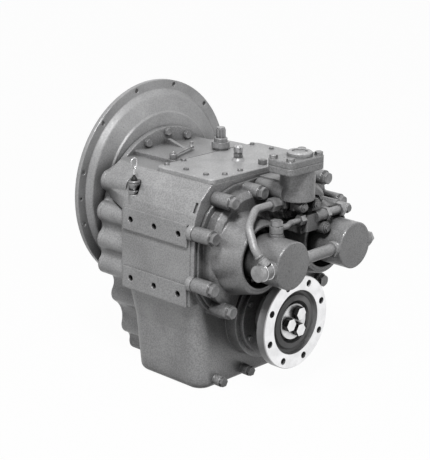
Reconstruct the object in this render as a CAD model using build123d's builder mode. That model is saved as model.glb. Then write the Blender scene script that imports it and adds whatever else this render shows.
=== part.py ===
from build123d import *
import os
from math import acos, atan2, cos, degrees, pi, radians, sin, sqrt, tan

# Marine reversing gearbox with a dished engine-side bell ring, in millimetres.
# Frame: origin at the centre of the bell's engine face, +Y toward the engine, +Z up.
# A depth is measured aft of the engine face, so depth d lies at y = -d.

os.makedirs("parts", exist_ok=True)

# Bell ring, engine flange of standard size 1
rim_d = 552.4
rim_t = 12.0
rim_inner_d = 502.0
bell_circle_d = 530.2
bell_hole_count = 12
bell_hole_d = 11.9
dowel_hole_d = 8.0
pilot_d = 511.1
pilot_h = 5.0
shoulder_d = 474.0
shoulder_depth = 25.0
shoulder_round = 8.0
step_d = 392.0
step_depth = 35.0
step_h = 4.0
bell_wall = 12.0
bell_bore_d = 240.0
flat_ring_d = 316.0

# Screws between the bell and the front housing
bell_bolt_r = 145.0
bell_bolt_count = 12
bell_bolt_shank_r = 6.0
bell_bolt_head = 19.0
aft_headed = (2, 3, 4)

# Gear train, in module and teeth
fast_module = 4.5
drive_teeth = 31
transfer_teeth = 53
slow_module = 5.0
pinion_teeth = 31
bull_teeth = 61
pump_module = 3.0
pump_teeth = 14
spline_module = 2.0
spline_teeth = 20
stub_tooth = 0.8
pressure_angle = 20.0
backlash = 0.5

# Depths and widths of the running gear
face_depth = 42.0
arch_t = 15.0
joint_depth = 66.0
seat_depth = 65.0
seat_w = 27.0
drive_depth = 110.0
drive_w = 34.0
body_depth = 148.0
transfer_depth = 186.0
transfer_w = 30.0
hood_depth = 152.0
drum_w = 82.0
pinion_depth = 312.0
pinion_w = 52.0
rear_seat_depth = 372.0
output_seat_depth = 374.0
output_seat_w = 35.0
rim_depth = 401.0

# Clutches
drum_r = 100.0
drum_wall = 7.0
drum_web = 12.0
drum_sleeve_r = 34.0
piston_w = 12.0
piston_lift = 3.0
plate_count = 5
disc_w = 3.0
disc_gap = 0.5
steel_bore_r = 66.0
friction_r = 89.0
backing_w = 10.0
hub_sleeve_r = 60.0
hub_neck_r = 46.0

# Shafts and bearing seats
fit = 0.05
clearance = 0.3
clutch_shaft_r = 26.0
stub_r = 20.0
front_seat_r = 55.0
rear_seat_r = 50.0
seat_wall = 12.0
input_shaft_r = 22.0
input_seat_r = 42.0
input_seal_r = 34.0
output_shaft_r = 38.0
front_output_seat_r = 62.0
aft_output_seat_r = 76.0
quill_r = 9.0
idler_pin_r = 8.0
bush_len = 16.0
bush_relief = 4.0
roller_count = 9

# Casing
wall = 14.0
half_w = 249.7
pad_proud = 5.0
top_z = 100.0
platform_half_w = 118.0
sump_top_z = -200.0
sump_waist_z = -285.0
sump_z = -443.0
sump_top_x = 246.0
sump_waist_x = 223.0
sump_foot_x = 203.0
sump_corner_r = 42.0
sump_edge_r = 20.0
sump_set_back = 12.0
rim_lip = 8.0
rim_lip_t = 20.0
slot_run = 8.0
slot_len = 26.0
slot_deep = 6.0
slot_w = 8.0
slot_back = 14.0
floor_wall = 12.0
arch_r = 222.0
arch_z = -65.0
rib_x = -6.0
rib_w = 10.0
rib_z = 128.0
lobe_r = 28.0
lobe_tab = 12.0
lobe_screw_r = 6.0
lobe_screw_len = 40.0
lobe_spots = [(208, 50), (221, -29), (221, -103), (219, -170), (173, -262), (137, -358), (108, -412)]
scallop_radii = [15, 20, 20, 32, 60, 20]
neck_line = [(99, 100), (160, 84), (200, 40), (214, -20), (214, -110), (206, -180), (170, -225),
             (160, -275), (128, -340), (112, -395), (75, -430)]
hood_front = [(180, 100), (222, 72), (230, 42), (214, 8)]
hood_aft = [(188, 100), (224, 68), (243, 30), (half_w, 0)]

# Mounting pads on both sides
pad_hole_r = 8.0
pad_hole_deep = 15.0
pad_hole_columns = 3
pad_pitch_y = 84.0
pad_pitch_z = 154.4
pad_mid_depth = 269.4
pad_top_z = -19.2
pad_len = 226.0
pad_h = 57.5
pad_rise = 28.5

# Top cover
plate_half_w = 188.0
plate_front = 206.0
plate_t = 12.0
plate_corner_r = 16.0
hatch_half_w = 148.0
hatch_front = 228.0
hatch_aft = 368.0
plate_screw_r = 4.0
plate_screws = [(160, 218), (160, 286), (160, 354), (100, 218), (68, 383), (124, 383)]

# Aft cover
gasket_t = 1.0
cover_flange_t = 7.0
crown_depth = 445.0
crown_inset = 16.0
crown_slope = 13.0
crown_low_z = -180.0
cover_land = 28.0
cover_wall = 12.0
boss_r = 19.0
boss_depth = 457.0
rim_boss_r = 20.0
rim_boss_t = 16.0
cover_bolt_r = 10.0
cover_spots = [(71, 70), (176, 64), (242, -11), (243, -140), (176, -214)]
cover_line = [(20, 92), (116, 88), (152, 78), (183, 57), (211, 32), (236, -15), (240, -60), (240, -130),
              (228, -170), (205, -200), (172, -228), (135, -250)]
cover_arc_r = 124.0
ring_foot_r = 106.0
ring_top_r = 85.0
ring_depth = 515.0
ring_recess_r = 77.0
ring_floor = 462.0
ring_cavity_r = 88.0
ring_drop = 12.0
ring_start = 412.0
ring_knee = 430.0
ring_waist = 480.0

# Shaft covers that stand in the rings
can_r = 59.6
can_depth = 607.0
can_head = 530.0
can_bore_r = 46.0
can_flange_r = 73.0
can_flange_t = 12.0
can_edge = 2.0
can_screw_count = 6
small_screw_r = 4.0
small_screw_head = 13.0
port_depth = 586.0

# Output side
output_boss_r = 118.0
output_boss_t = 24.0
carrier_r = 104.0
carrier_t = 12.0
carrier_screw_r = 91.0
seal_r = 70.0
seal_w = 14.0
flange_face = 523.0
flange_r = 121.7
flange_t = 27.0
flange_circle_r = 103.8
flange_hole_r = 9.0
flange_hole_count = 8
flange_turn = 22.5 - 3.3
recess_r = 84.0
hub_r = 58.0
retainer_r = 48.0
retainer_face = 515.0
retainer_t = 11.0
retainer_bolt_circle_r = 25.0
retainer_bolt_r = 11.0

# Filter column
column_depth = 512.0
column_r = 44.0
column_wall = 8.0
column_foot_z = 54.0
column_flange_z = 130.0
lid_z = 147.0
lid_t = 17.0
lid_x = -13.0
lid_depth = 516.0
lid_w = 132.0
lid_len = 82.0
lid_corner_r = 16.0
lid_bolt_x = 53.0
lid_bolt_y = 27.0
lid_bolt_r = 6.0
cap_r = 32.0
cap_t = 11.0
element_r = 30.0

# Input-axis plug and valve block
plug_boss_depth = 482.0
plug_z = 14.0
valve_front = 508.0
valve_aft = 546.0
valve_step = 522.0
valve_low_z = -27.0
valve_high_z = 16.0

# Oil pipes
feed_r = 10.0
feed_bend = 45.0
right_feed_r = 11.0
cross_r = 15.0
link_r = 7.0
pipe_wall = 2.0
banjo_r = 20.0
banjo_w = 21.0
banjo_shank_r = 9.0
banjo_seat_x = 187.0
feed_depth = 490.0
feed_z = 46.0
feed_root_x = 24.0
feed_stub_len = 25.0
right_feed_depth = 540.0
right_feed_z = 5.0
right_elbow_x = 158.0
right_elbow_start = 517.0
link_depth = 545.0
link_x = 113.0
link_z = 5.0
link_ring_h = 18.0
link_end_depth = 533.0

# Fittings on top
breather_x = 60.0
breather_depth = 196.0
switch_x = 6.0
switch_depth = 308.0
dip_x = -232.0
dip_depth = 175.0
dip_boss_z = 42.0
dip_tube_top = 77.0
dip_tube_r = 8.0
dip_bore_r = 4.0
dip_rod_r = 2.5
dip_low_z = -190.0
dip_loop_z = 122.0
lever_x = -112.0
lever_depth = 193.0
lever_pin_r = 6.0
lever_len = 105.0
lever_turn = 18.3
lever_z = 121.0

input_distance = fast_module * drive_teeth
clutch_x = fast_module * transfer_teeth / 2
clutch_z = -sqrt(input_distance**2 - clutch_x**2)
output_distance = slow_module * (pinion_teeth + bull_teeth) / 2
output_z = clutch_z - sqrt(output_distance**2 - clutch_x**2)
pump_z = -pump_module * pump_teeth
drum_depth = transfer_depth + transfer_w
piston_depth = drum_depth + drum_web + piston_lift
stack_depth = piston_depth + piston_w + 2 * piston_lift
stack_pitch = 2 * (disc_w + disc_gap)
stack_end = stack_depth + plate_count * stack_pitch
rear_seat_end = rear_seat_depth + seat_w
output_seat_end = output_seat_depth + output_seat_w
output_boss_end = rim_depth + output_boss_t
cover_face = rim_depth + gasket_t
plate_top = top_z + plate_t
lid_top = lid_z + lid_t
bell_rim_r = rim_d / 2
pocket_r = clutch_x + stub_tooth * fast_module + 2.0
sides = (("left", -1), ("right", 1))


def aft(depth, x=0.0, z=0.0):
    """Plane at a depth, looking aft: local x is +X and local y is +Z."""
    return Plane(origin=(x, -depth, z), x_dir=(1, 0, 0), z_dir=(0, -1, 0))


def level(z, x=0.0, depth=0.0):
    """Level plane at height z."""
    return Plane(origin=(x, -depth, z), x_dir=(1, 0, 0), z_dir=(0, 0, 1))


def side(x, depth=0.0, z=0.0, sign=1):
    """Plane whose normal points along X, outward for the given side."""
    return Plane(origin=(x, -depth, z), x_dir=(0, sign, 0), z_dir=(sign, 0, 0))


def mirrored(points):
    """Closed outline from the points of its right half, listed from the top down."""
    return points + [(-x, z) for x, z in reversed(points)]


def around(count, radius, start=0.0, x=0.0, z=0.0):
    """Points on a circle."""
    turns = [radians(start + 360 / count * n) for n in range(count)]
    return [(x + radius * cos(t), z + radius * sin(t)) for t in turns]


def both_sides(points):
    """The points and their mirror images."""
    return [(s * x, z) for s in (1, -1) for x, z in points]


def disc(depth, length, radius, x=0.0, z=0.0, bore=0.0, mode=Mode.ADD):
    """Cylinder or ring along Y, from a depth aft."""
    with BuildSketch(aft(depth, x, z)) as face:
        Circle(radius)
        if bore:
            Circle(bore, mode=Mode.SUBTRACT)
    extrude(face.sketch, amount=length, mode=mode)


def post(z, height, radius, x, depth, bore=0.0, mode=Mode.ADD):
    """Cylinder or ring along Z, from height z up."""
    with BuildSketch(level(z, x, depth)) as face:
        Circle(radius)
        if bore:
            Circle(bore, mode=Mode.SUBTRACT)
    extrude(face.sketch, amount=height, mode=mode)


def stub(x, length, radius, depth, z, sign=1, bore=0.0, mode=Mode.ADD):
    """Cylinder or ring along X, outward from x on the given side."""
    with BuildSketch(side(sign * x, depth, z, sign)) as face:
        Circle(radius)
        if bore:
            Circle(bore, mode=Mode.SUBTRACT)
    extrude(face.sketch, amount=length, mode=mode)


def slab(outline, depth, length, inset=0.0, mode=Mode.ADD):
    """Closed outline of (x, z) points, drawn in by the inset and extruded aft."""
    with BuildSketch(aft(depth)) as face:
        with BuildLine():
            Polyline(outline, close=True)
        make_face()
        if inset:
            offset(amount=-inset)
    extrude(face.sketch, amount=length, mode=mode)


def block(x0, x1, depth0, depth1, z0, z1, corner=0.0, mode=Mode.ADD):
    """Block between two x, two depths and two heights, with rounded upright corners."""
    with BuildSketch(level(z0, (x0 + x1) / 2, (depth0 + depth1) / 2)) as face:
        if corner:
            RectangleRounded(x1 - x0, depth1 - depth0, corner)
        else:
            Rectangle(x1 - x0, depth1 - depth0)
    extrude(face.sketch, amount=z1 - z0, mode=mode)


def turned(section, x=0.0, z=0.0, mode=Mode.ADD):
    """Section of (radius, depth) points turned about an axis along Y."""
    with BuildSketch(level(z, x)) as face:
        with BuildLine():
            Polyline([(r, -d) for r, d in section], close=True)
        make_face()
    revolve(face.sketch, axis=Axis((x, 0, z), (0, 1, 0)), mode=mode)


def hexagon(plane, across, height, bore=0.0):
    """Hexagonal prism on a plane."""
    with BuildSketch(plane) as face:
        RegularPolygon(across / 2, 6, major_radius=False)
        if bore:
            Circle(bore, mode=Mode.SUBTRACT)
    extrude(face.sketch, amount=height)


def bolt_aft(depth, x, z, across, head, shank_r, shank):
    """Hex bolt along Y with its head aft of the depth."""
    hexagon(aft(depth, x, z), across, head)
    disc(depth - shank, shank, shank_r, x, z)


def bolt_up(z, x, depth, across, head, shank_r, shank):
    """Hex screw along Z with its head above height z."""
    hexagon(level(z, x, depth), across, head)
    post(z - shank, shank, shank_r, x, depth)


def pipe(points, radius, bend):
    """Bent pipe through (x, depth, z) points."""
    with BuildLine() as route:
        FilletPolyline(*[(x, -d, z) for x, d, z in points], radius=bend)
    with BuildSketch(Plane(origin=route.line @ 0, z_dir=route.line % 0)) as face:
        Circle(radius)
        Circle(radius - pipe_wall, mode=Mode.SUBTRACT)
    sweep(face.sketch, path=route.line)


def cover_outline(depth, inset, length, mode=Mode.ADD):
    """Outline of the aft cover, arched over the output side, drawn in and extruded aft."""
    with BuildSketch(aft(depth)) as face:
        with BuildLine():
            Polyline(mirrored(cover_line), close=True)
        make_face()
        with Locations((0, output_z)):
            Circle(cover_arc_r, mode=Mode.SUBTRACT)
        if inset:
            offset(amount=-inset)
    extrude(face.sketch, amount=length, mode=mode)


def finish(part, name):
    """Label a piece and write it."""
    part.part.label = name
    export_step(part.part, f"parts/{name}.step")


def involute(angle):
    return tan(angle) - angle


def gear_outline(module, teeth, phase, addendum):
    """Tooth corners on the involute, one tooth centred on the phase."""
    pitch_r = module * teeth / 2
    base_r = pitch_r * cos(radians(pressure_angle))
    tip_r = pitch_r + addendum * module
    root_r = pitch_r - (addendum + 0.25) * module
    at_pitch = pi / (2 * teeth) - backlash / (4 * pitch_r) + involute(radians(pressure_angle))
    tip_turn = at_pitch - involute(acos(base_r / tip_r))
    root_turn = at_pitch - involute(acos(min(1.0, base_r / root_r)))
    points = []
    for tooth in range(teeth):
        centre = radians(phase) + 2 * pi * tooth / teeth
        corners = ((root_r, -root_turn), (tip_r, -tip_turn), (tip_r, tip_turn), (root_r, root_turn))
        for radius, turn in corners:
            points.append((radius * cos(centre + turn), radius * sin(centre + turn)))
    return points


def mate_phase(lead_phase, lead_teeth, teeth, direction):
    """Phase of a gear that its lead gear sees in the given direction."""
    return direction + 180 + 180 / teeth - (lead_phase - direction) * lead_teeth / teeth


def gear(module, teeth, phase, depth, width, x, z, bore=0.0, addendum=1.0):
    """Spur gear along Y."""
    with BuildSketch(aft(depth, x, z)) as face:
        with BuildLine():
            Polyline(gear_outline(module, teeth, phase, addendum), close=True)
        make_face()
        if bore:
            Circle(bore, mode=Mode.SUBTRACT)
    extrude(face.sketch, amount=width)


def outer_race(depth, width, outer_r, bore_r, x, z):
    """Outer ring of a roller bearing, a quarter of the section thick."""
    disc(depth, width, outer_r, x, z, bore=outer_r - (outer_r - bore_r) / 4)


def inner_race(depth, width, outer_r, bore_r, x, z):
    """Inner ring with the rollers that run in the outer ring."""
    step = (outer_r - bore_r) / 4
    disc(depth, width, bore_r + step, x, z, bore=bore_r)
    for px, pz in around(roller_count, (outer_r + bore_r) / 2, 0, x, z):
        disc(depth + 4, width - 8, step - fit, px, pz)


# Bell ring
with BuildPart() as bell_housing:
    turned([
        (bell_rim_r, 0), (bell_rim_r, rim_t), (rim_inner_d / 2, rim_t),
        (shoulder_d / 2, shoulder_depth), (step_d / 2, step_depth),
        (step_d / 2 - step_h, step_depth + step_h), (flat_ring_d / 2, face_depth),
        (bell_bore_d / 2, face_depth), (bell_bore_d / 2, face_depth - bell_wall),
        (flat_ring_d / 2, face_depth - bell_wall), (step_d / 2 - step_h, step_depth + step_h - bell_wall),
        (shoulder_d / 2 - bell_wall / 2, shoulder_depth - bell_wall),
        (pilot_d / 2 - bell_wall, 0), (pilot_d / 2 - bell_wall + pilot_h, -pilot_h),
        (pilot_d / 2, -pilot_h), (pilot_d / 2, 0)])
    circles = bell_housing.edges().filter_by(GeomType.CIRCLE)
    fillet(circles.filter_by(lambda e: abs(e.radius - shoulder_d / 2) < 0.1), shoulder_round)
    for x, z in around(bell_hole_count, bell_circle_d / 2, 180 / bell_hole_count):
        disc(-1, rim_t + 2, bell_hole_d / 2, x, z, mode=Mode.SUBTRACT)
    for x, z in around(2, bell_circle_d / 2):
        disc(-1, rim_t + 2, dowel_hole_d / 2, x, z, mode=Mode.SUBTRACT)
    for x, z in around(bell_bolt_count, bell_bolt_r):
        disc(face_depth - bell_wall - 1, bell_wall + 2, bell_bolt_shank_r, x, z, mode=Mode.SUBTRACT)
finish(bell_housing, "bell_housing")

# Front housing: arched flange, bearing wall and lobed joint
def scallop(first, second, radius):
    """Centre of a scallop between two lobes, and the two points where it meets them."""
    half = sqrt((second[0] - first[0])**2 + (second[1] - first[1])**2) / 2
    reach = sqrt((lobe_r + radius)**2 - half**2) / (2 * half)
    centre_x = (first[0] + second[0]) / 2 + reach * (first[1] - second[1])
    centre_z = (first[1] + second[1]) / 2 + reach * (second[0] - first[0])
    share = lobe_r / (lobe_r + radius)
    meets = [(x + share * (centre_x - x), z + share * (centre_z - z)) for x, z in (first, second)]
    return centre_x, centre_z, meets


def skirt(depth, length):
    """Waved outline of the lobes, extruded aft."""
    waves = [scallop(a, b, r) for a, b, r in zip(lobe_spots, lobe_spots[1:], scallop_radii)]
    top_x, top_lobe_z = lobe_spots[0]
    foot_x, foot_z = lobe_spots[-1]
    points = [(half_w - 99, top_z), (top_x, top_lobe_z + lobe_r)]
    for x, z, meets in waves:
        points += meets
    slab(mirrored(points + [(foot_x - 12, foot_z - 25)]), depth, length)
    for (x, z, meets), radius in zip(waves, scallop_radii):
        for s in (1, -1):
            disc(depth - 1, length + 2, radius, s * x, z, mode=Mode.SUBTRACT)
    for x, z in both_sides(lobe_spots):
        disc(depth, length, lobe_r, x, z)


seats = [(-clutch_x, clutch_z, front_seat_r), (clutch_x, clutch_z, front_seat_r),
         (0.0, output_z, front_output_seat_r), (0.0, 0.0, input_seat_r)]
with BuildPart() as front_housing:
    skirt(joint_depth - lobe_tab, lobe_tab)
    with BuildSketch(aft(face_depth)) as arch_sketch:
        with Locations((0, arch_z)):
            Circle(arch_r)
        with Locations((0, arch_z - 1.5 * arch_r)):
            Rectangle(3 * arch_r, 2 * arch_r, mode=Mode.SUBTRACT)
        with BuildLine():
            Polyline(mirrored(neck_line), close=True)
        make_face()
    extrude(arch_sketch.sketch, amount=arch_t)
    slab(mirrored(neck_line), face_depth + arch_t, joint_depth - face_depth - arch_t)
    block(-platform_half_w, platform_half_w, face_depth + arch_t, joint_depth, top_z - wall, plate_top)
    block(rib_x, rib_x + rib_w, face_depth + arch_t, joint_depth, top_z - wall, rib_z)
    for x, z in both_sides(lobe_spots):
        disc(face_depth - 1, joint_depth - lobe_tab - face_depth + 1, lobe_r / 2, x, z, mode=Mode.SUBTRACT)
        disc(joint_depth - lobe_tab - 1, lobe_tab + 2, lobe_screw_r, x, z, mode=Mode.SUBTRACT)
    disc(face_depth - bell_wall, bell_wall, bell_bore_d / 2, bore=bell_bore_d / 2 - wall)
    for x, z, seat_r in seats:
        disc(joint_depth, seat_depth + seat_w - joint_depth, seat_r + seat_wall, x, z)
    for x, z, seat_r in seats:
        disc(seat_depth, seat_w + 1, seat_r, x, z, mode=Mode.SUBTRACT)
    disc(face_depth - 1, seat_depth, input_seal_r, mode=Mode.SUBTRACT)
    for x, z in around(bell_bolt_count, bell_bolt_r):
        disc(face_depth - 1, arch_t + 1, bell_bolt_shank_r, x, z, mode=Mode.SUBTRACT)
finish(front_housing, "front_housing")

# Screws of the bell: three heads show aft, above the casing, and the others are inside the bell
with BuildPart() as bell_bolts:
    for n, (x, z) in enumerate(around(bell_bolt_count, bell_bolt_r)):
        if n in aft_headed:
            bolt_aft(face_depth + arch_t, x, z, bell_bolt_head, 9, bell_bolt_shank_r, arch_t + bell_wall)
        else:
            hexagon(aft(face_depth - bell_wall - 8, x, z), bell_bolt_head, 8)
            disc(face_depth - bell_wall, bell_wall + arch_t, bell_bolt_shank_r, x, z)
finish(bell_bolts, "bell_bolts")

# Screws through the lobes of the front housing
with BuildPart() as housing_screws:
    for x, z in both_sides(lobe_spots):
        hexagon(aft(joint_depth - lobe_tab - 8, x, z), bell_bolt_head, 8)
        disc(joint_depth - lobe_tab, lobe_screw_len, lobe_screw_r, x, z)
finish(housing_screws, "housing_screws")

# Main casing: narrow neck, widening hood, full body and rounded sump
sump_aft = rim_depth - sump_set_back
sump_mid = (body_depth + sump_aft) / 2
sump_len = sump_aft - body_depth
inner_aft = sump_aft - wall
pad_x = half_w + pad_proud
pad_rows = (pad_top_z, pad_top_z - pad_pitch_z)
pad_start = pad_mid_depth - pad_pitch_y * (pad_hole_columns - 1) / 2
pad_columns = [pad_start + pad_pitch_y * n for n in range(pad_hole_columns)]
(high_x, high_z), (low_x, low_z) = hood_aft[1:3]
slope_len = sqrt((low_x - high_x)**2 + (low_z - high_z)**2)
slope_x = (low_x - high_x) / slope_len
slope_z = (low_z - high_z) / slope_len


def on_slope(run, deep):
    """Point on the shoulder of the hood, a run down its slope and a depth into it."""
    return (high_x + run * slope_x + deep * slope_z, high_z + run * slope_z - deep * slope_x)


slot_end = slot_run + slot_len
slot_outline = [on_slope(slot_run, -2), on_slope(slot_end, -2), on_slope(slot_end, slot_deep),
                on_slope(slot_run, slot_deep)]
with BuildPart() as main_casing:
    skirt(joint_depth, body_depth - joint_depth)
    slab(mirrored(neck_line), joint_depth, body_depth + wall - joint_depth)
    for depth, outline in ((joint_depth, hood_front), (hood_depth, hood_aft)):
        with BuildSketch(aft(depth)):
            with BuildLine():
                Polyline(mirrored(outline), close=True)
            make_face()
    loft(ruled=True)
    slab(mirrored(hood_aft), hood_depth, rim_depth - hood_depth)
    block(-half_w, half_w, body_depth, sump_aft, sump_top_z, 0)
    for z, half in ((sump_top_z, sump_top_x), (sump_waist_z, sump_waist_x), (sump_z, sump_foot_x)):
        with BuildSketch(level(z, 0, sump_mid)):
            RectangleRounded(2 * half, sump_len, sump_corner_r)
    loft(ruled=True)
    fillet(main_casing.faces().sort_by(Axis.Z)[0].edges(), sump_edge_r)
    cover_outline(rim_depth - rim_lip_t, -rim_lip, rim_lip_t)
    block(-platform_half_w, platform_half_w, joint_depth, plate_front - 1, top_z - wall, plate_top)
    with BuildSketch(side(rib_x)):
        with BuildLine():
            Polyline((-joint_depth, top_z), (-joint_depth, rib_z), (-joint_depth - 60, plate_top),
                     (-joint_depth - 60, top_z), close=True)
        make_face()
    extrude(amount=rib_w)
    for s in (1, -1):
        for z in pad_rows:
            pad_edge = s * half_w - s * 2
            block(min(s * pad_x, pad_edge), max(s * pad_x, pad_edge), pad_mid_depth - pad_len / 2,
                  pad_mid_depth + pad_len / 2, z + pad_rise - pad_h, z + pad_rise)
    slab(mirrored(neck_line), joint_depth, hood_depth + wall - joint_depth, wall, Mode.SUBTRACT)
    inner_front = hood_depth + wall
    slab(mirrored(hood_aft + [(half_w, sump_top_z - wall)]), inner_front, inner_aft - inner_front, wall,
         Mode.SUBTRACT)
    block(wall - half_w, half_w - wall, body_depth + wall, inner_aft, sump_top_z, -wall, mode=Mode.SUBTRACT)
    for name, s in sides:
        disc(transfer_depth - 4, transfer_w + 8, pocket_r, s * clutch_x, clutch_z, mode=Mode.SUBTRACT)
    floor_z = sump_z + floor_wall
    for z, half in ((sump_top_z, sump_top_x), (sump_waist_z, sump_waist_x), (floor_z, sump_foot_x)):
        with BuildSketch(level(z, 0, sump_mid)):
            RectangleRounded(2 * (half - wall), sump_len - 2 * wall, sump_corner_r - wall)
    loft(ruled=True, mode=Mode.SUBTRACT)
    cover_outline(sump_aft - wall - 1, cover_land, sump_set_back + wall + 2, Mode.SUBTRACT)
    block(-hatch_half_w, hatch_half_w, hatch_front, hatch_aft, top_z - wall - 1, top_z + 1, 12, Mode.SUBTRACT)
    for x, z in both_sides(cover_spots):
        disc(rim_depth - rim_boss_t, rim_boss_t, rim_boss_r, x, z)
        disc(rim_depth - rim_boss_t + 4, rim_boss_t, cover_bolt_r, x, z, mode=Mode.SUBTRACT)
    disc(output_seat_depth, rim_depth - output_seat_depth, aft_output_seat_r + seat_wall, 0, output_z)
    disc(sump_aft - 1, sump_set_back + output_boss_t + 1, output_boss_r, 0, output_z)
    disc(output_seat_depth - 1, output_boss_end, aft_output_seat_r, 0, output_z, mode=Mode.SUBTRACT)
    for x, z in around(can_screw_count, carrier_screw_r, 30, 0, output_z):
        disc(output_boss_end - 16, 17, small_screw_r, x, z, mode=Mode.SUBTRACT)
    for x, z in both_sides(lobe_spots):
        disc(joint_depth - 1, lobe_screw_len - lobe_tab + 1, lobe_screw_r, x, z, mode=Mode.SUBTRACT)
    for s in (1, -1):
        for z in pad_rows:
            for depth in pad_columns:
                stub(pad_x - pad_hole_deep, pad_hole_deep + 1, pad_hole_r, depth, z, s, mode=Mode.SUBTRACT)
    for x, depth in both_sides(plate_screws):
        post(top_z - wall + 2, wall, plate_screw_r, x, depth, mode=Mode.SUBTRACT)
    post(dip_boss_z, 40, dip_tube_r + 9, dip_x, dip_depth, mode=Mode.SUBTRACT)
    post(0, dip_boss_z, dip_tube_r + 6, dip_x, dip_depth)
    post(-wall - 1, dip_boss_z + wall + 2, dip_tube_r, dip_x, dip_depth, mode=Mode.SUBTRACT)
    post(top_z - wall, plate_t + wall + 2, lever_pin_r + 6, lever_x, lever_depth)
    post(top_z - wall + 4, plate_t + wall, lever_pin_r + fit, lever_x, lever_depth, mode=Mode.SUBTRACT)
    for outline in (slot_outline, [(-x, z) for x, z in slot_outline]):
        slab(outline, rim_depth - slot_back, slot_w, mode=Mode.SUBTRACT)
    for x in (-149, -45):
        disc(sump_aft - 6, 28, 14, x, sump_z + 22)
finish(main_casing, "main_casing")

# Screws of the top cover and the hex plug at its aft edge
with BuildPart() as top_screws:
    for x, depth in both_sides(plate_screws):
        bolt_up(plate_top, x, depth, small_screw_head, 5, plate_screw_r, plate_t + 8)
finish(top_screws, "top_screws")

# Top cover
with BuildPart() as top_cover:
    block(-plate_half_w, plate_half_w, plate_front, rim_depth, top_z, plate_top, plate_corner_r)
    chamfer(top_cover.faces().sort_by(Axis.Z)[-1].edges(), 2)
    for x, depth in both_sides(plate_screws):
        post(top_z - 1, plate_t + 2, plate_screw_r, x, depth, mode=Mode.SUBTRACT)
finish(top_cover, "top_cover")

# Breather: turned base on the platform and a fluted cap
cap_z = plate_top + 32
with BuildPart() as breather_body:
    post(plate_top, 6, 21, breather_x, breather_depth)
    post(plate_top + 6, 15, 24, breather_x, breather_depth)
    post(plate_top + 21, cap_z - plate_top - 21, 18, breather_x, breather_depth)
    chamfer(breather_body.edges().filter_by(GeomType.CIRCLE).sort_by(Axis.Z)[-1:], 2)
finish(breather_body, "breather_body")

with BuildPart() as breather_cap:
    with BuildSketch(level(cap_z, breather_x, breather_depth)):
        Circle(13)
        with PolarLocations(13, 10):
            Circle(2.2, mode=Mode.SUBTRACT)
    extrude(amount=22)
    post(cap_z + 22, 5, 11, breather_x, breather_depth)
finish(breather_cap, "breather_cap")

# Temperature switch on the top cover
with BuildPart() as temperature_switch:
    post(plate_top, 7, 14, switch_x, switch_depth)
    hexagon(level(plate_top + 7, switch_x, switch_depth), 24, 22)
    post(plate_top + 29, 9, 8, switch_x, switch_depth)
finish(temperature_switch, "temperature_switch")

# Gasket between the casing and the aft cover
with BuildPart() as cover_gasket:
    cover_outline(rim_depth, 2, gasket_t)
    cover_outline(rim_depth - 1, cover_land - 2, gasket_t + 2, Mode.SUBTRACT)
    for x, z in both_sides(cover_spots):
        disc(rim_depth, gasket_t, boss_r - 2, x, z)
        disc(rim_depth - 1, gasket_t + 2, cover_bolt_r, x, z, mode=Mode.SUBTRACT)
finish(cover_gasket, "cover_gasket")

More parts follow.
